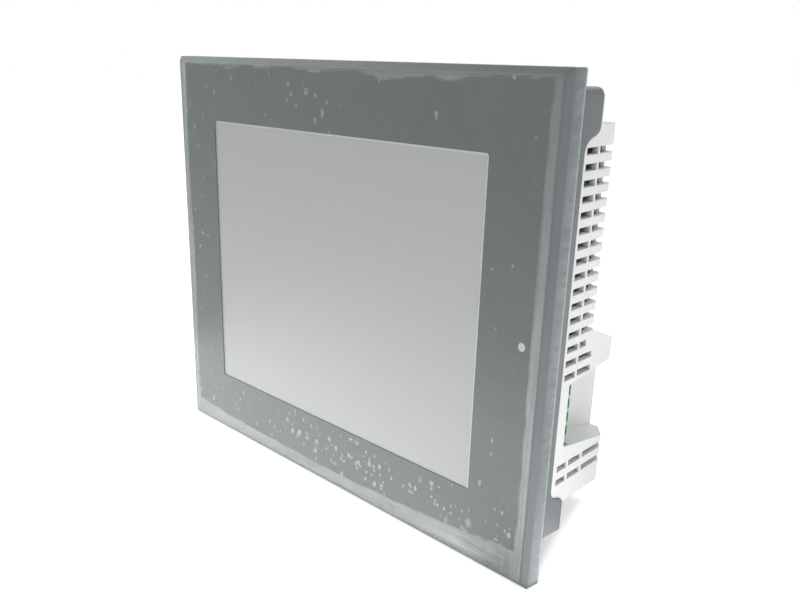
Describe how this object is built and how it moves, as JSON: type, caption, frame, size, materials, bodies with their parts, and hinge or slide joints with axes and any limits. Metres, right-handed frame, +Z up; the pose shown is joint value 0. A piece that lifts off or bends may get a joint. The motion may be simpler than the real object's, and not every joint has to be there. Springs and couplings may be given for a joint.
{
  "type": "operator touch panel",
  "caption": "Panel-mounted operator touch screen: dark bevelled bezel with film-covered overlay, matt screen, status light, and a pale vented rear cover stepping to a deep connector block.",
  "frame": {"origin": "middle of the panel cut-out, on the plane of the flange's back", "axes": "+X to the right of a person facing the screen, +Y into the panel, +Z up"},
  "size_m": [0.215, 0.0602, 0.17],
  "materials": {
    "case_dark": "fine texture, dark blue-grey",
    "gasket_black": "matt",
    "overlay_print": "smooth printed sheet",
    "clear_film": "clear, partly lifted",
    "touch_matt": "anti-glare film over a dark display",
    "touch_glass_clear": "clear",
    "foam_black": "closed-cell foam",
    "flex_amber": "polyimide",
    "light_white": "milky",
    "frame_sheet": "plain sheet",
    "cell_glass": "dark glass",
    "guide_clear": "clear acrylic",
    "tray_white": "white moulding",
    "screw_steel": "plated",
    "brass": "turned",
    "board_green": "solder mask",
    "black_parts": "moulded",
    "sink_aluminium": "extruded",
    "cell_steel": "plated",
    "ribbon_white": "flat cable",
    "transformer_brown": "varnished winding",
    "capacitor_sleeve": "shrunk sleeve",
    "port_metal": "plated shell",
    "plug_green": "moulded",
    "cover_pale": "fine texture, pale grey"
  },
  "bodies": {
    "housing": {"front_case": "case_dark", "panel_gasket": "gasket_black", "overlay_sheet": "overlay_print", "protective_film": "clear_film", "touch_film": "touch_matt", "touch_glass": "touch_glass_clear", "touch_foam": "foam_black", "touch_tail": "flex_amber", "status_light_pipe": "light_white", "status_led": "light_white", "back_light_tube": "light_white", "display_frame": "frame_sheet", "chassis_plate": "frame_sheet", "display_cell": "cell_glass", "light_guide": "guide_clear", "display_tray": "tray_white", "expansion_sockets": "tray_white", "usb_tongues": "tray_white", "chassis_screws": "screw_steel", "main_board_screws": "screw_steel", "io_screws": "screw_steel", "power_screws": "screw_steel", "cover_screws": "screw_steel", "card_cover_pin": "screw_steel", "serial_lock_screws": "screw_steel", "board_spacers": "brass", "io_spacers": "brass", "power_spacers": "brass", "serial_port_pins": "brass", "main_board": "board_green", "inverter_board": "board_green", "io_board": "board_green", "power_board": "board_green", "main_chips": "black_parts", "battery_holder": "black_parts", "buzzer": "black_parts", "board_link": "black_parts", "serial_port_body": "black_parts", "serial_jack": "black_parts", "power_inductor": "black_parts", "card_socket": "black_parts", "heat_sink": "sink_aluminium", "backup_cell": "cell_steel", "display_ribbon": "ribbon_white", "inverter_transformer": "transformer_brown", "power_capacitors": "capacitor_sleeve", "serial_port_shell": "port_metal", "usb_shells": "port_metal", "network_jack": "port_metal", "power_header": "plug_green", "aux_header": "plug_green", "rear_cover": "cover_pale"},
    "card_door": {"card_cover": "cover_pale"},
    "eject_button": {"card_eject_button": "cover_pale"},
    "supply_plug": {"power_plug": "plug_green", "power_clamp_screws": "screw_steel"},
    "side_plug": {"aux_plug": "plug_green", "aux_clamp_screws": "screw_steel"},
    "hatch": {"expansion_cover": "cover_pale"}
  },
  "joints": [
    {"name": "card_cover_hinge", "type": "hinge", "parent": "housing", "child": "card_door", "pos_m": [-0.09882, 0.02162, -0.03365], "axis": [0, 0, 1], "range_deg": [0, 95]},
    {"name": "card_eject_slide", "type": "slide", "parent": "housing", "child": "eject_button", "axis": [1, 0, 0], "range_m": [0, 0.005], "stiffness_N_per_m": 20},
    {"name": "power_plug_slide", "type": "slide", "parent": "housing", "child": "supply_plug", "axis": [0, 0, -1], "range_m": [0, 0.01]},
    {"name": "aux_plug_slide", "type": "slide", "parent": "housing", "child": "side_plug", "axis": [0, 1, 0], "range_m": [0, 0.009]},
    {"name": "expansion_cover_slide", "type": "slide", "parent": "housing", "child": "hatch", "axis": [0, 1, 0], "range_m": [0, 0.008]}
  ]
}
